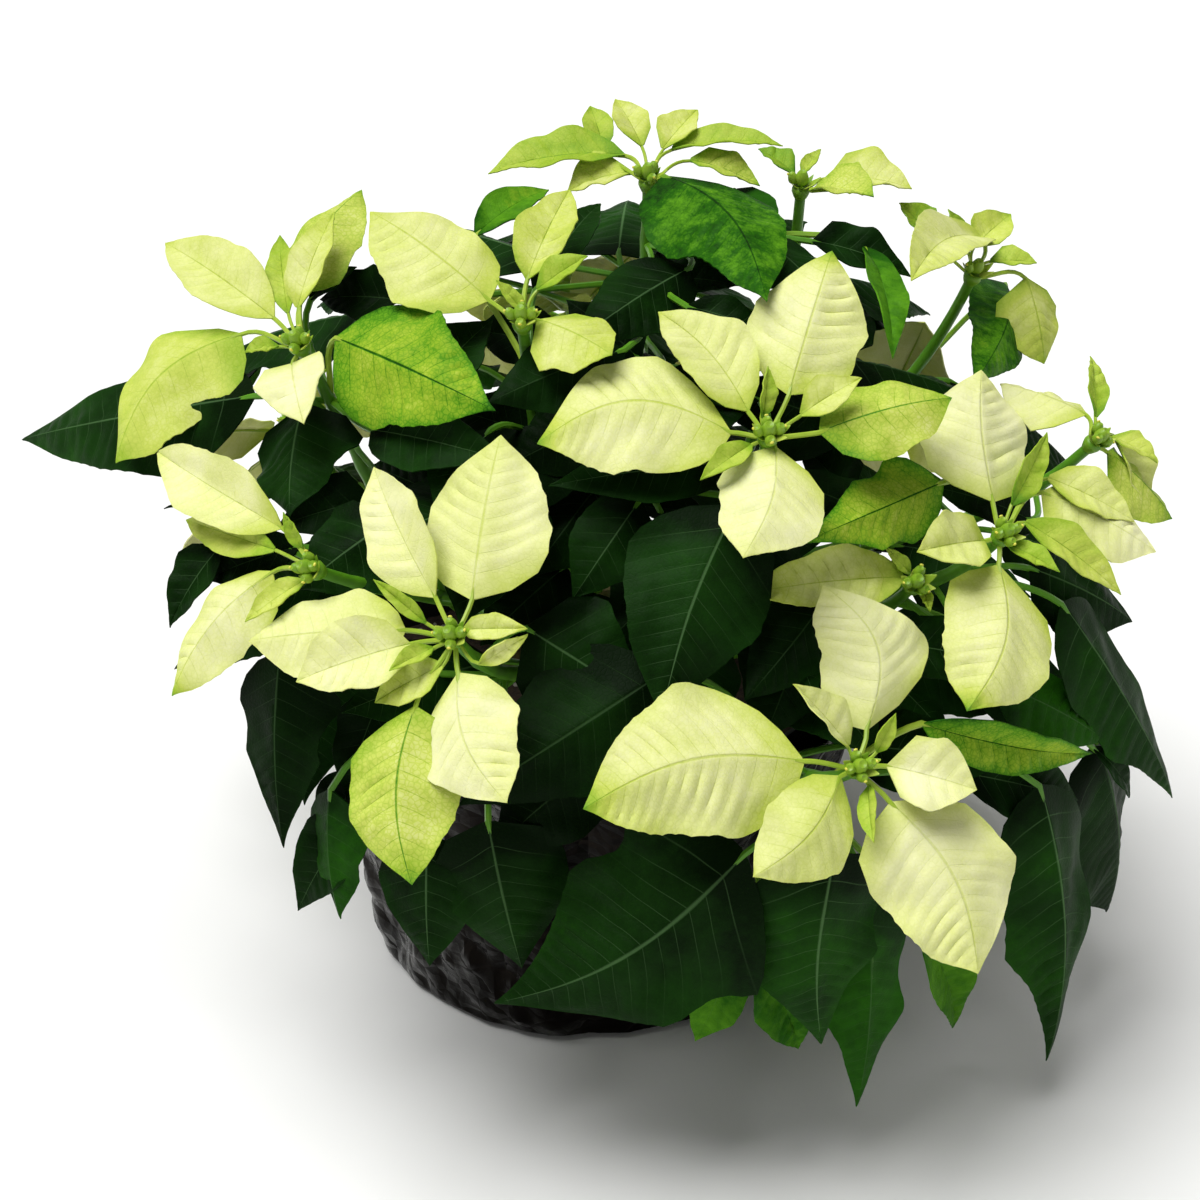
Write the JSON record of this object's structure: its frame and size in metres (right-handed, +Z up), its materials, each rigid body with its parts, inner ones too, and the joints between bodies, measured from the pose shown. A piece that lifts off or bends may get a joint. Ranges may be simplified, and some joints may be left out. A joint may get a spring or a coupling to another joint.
{
  "type": "potted poinsettia",
  "caption": "Cream poinsettia with broad bracts over dark lobed leaves, in a nursery pot inside a crumpled dark foil wrap.",
  "frame": {"origin": "centre of the wrap's flat underside, on the surface that the plant stands on", "axes": "+Z up; -Y towards the side that the picture shows"},
  "size_m": [0.4054, 0.4123, 0.3099],
  "materials": {
    "bract": "soft satin, cream to lime with green veins",
    "leaf": "satin dark green with pale veins, some leaves mottled lime",
    "bud": "waxy green with yellow tips",
    "bark": "matt green-brown bark",
    "peat": "matt crumbly peat",
    "pot": "matt dark plastic",
    "foil": "glossy dark metallised film, crumpled and pleated"
  },
  "bodies": {
    "root": {"bracts_back_centre": "bract", "bracts_back_left": "bract", "bracts_back_right": "bract", "bracts_centre": "bract", "bracts_far_right": "bract", "bracts_front_left": "bract", "bracts_front_right": "bract", "bracts_left": "bract", "bracts_right": "bract", "bracts_small_right": "bract", "bracts_top": "bract", "bracts_top_right": "bract", "bracts_upper_centre_left": "bract", "bracts_upper_left": "bract", "bracts_upper_right": "bract", "flower_head_back_centre": "bud", "flower_head_back_left": "bud", "flower_head_back_right": "bud", "flower_head_centre": "bud", "flower_head_far_right": "bud", "flower_head_front_left": "bud", "flower_head_front_right": "bud", "flower_head_left": "bud", "flower_head_right": "bud", "flower_head_small_right": "bud", "flower_head_top": "bud", "flower_head_top_right": "bud", "flower_head_upper_centre_left": "bud", "flower_head_upper_left": "bud", "flower_head_upper_right": "bud", "foil_wrap": "foil", "leafy_stem_back_centre": "leaf", "leafy_stem_back_left": "leaf", "leafy_stem_back_right": "leaf", "leafy_stem_centre": "leaf", "leafy_stem_far_right": "leaf", "leafy_stem_front_left": "leaf", "leafy_stem_front_right": "leaf", "leafy_stem_left": "leaf", "leafy_stem_right": "leaf", "leafy_stem_small_right": "leaf", "leafy_stem_top": "leaf", "leafy_stem_top_right": "leaf", "leafy_stem_upper_centre_left": "leaf", "leafy_stem_upper_left": "leaf", "leafy_stem_upper_right": "leaf", "nursery_pot": "pot", "soil": "peat", "trunk_1": "bark", "trunk_2": "bark", "trunk_3": "bark"}
  },
  "joints": []
}
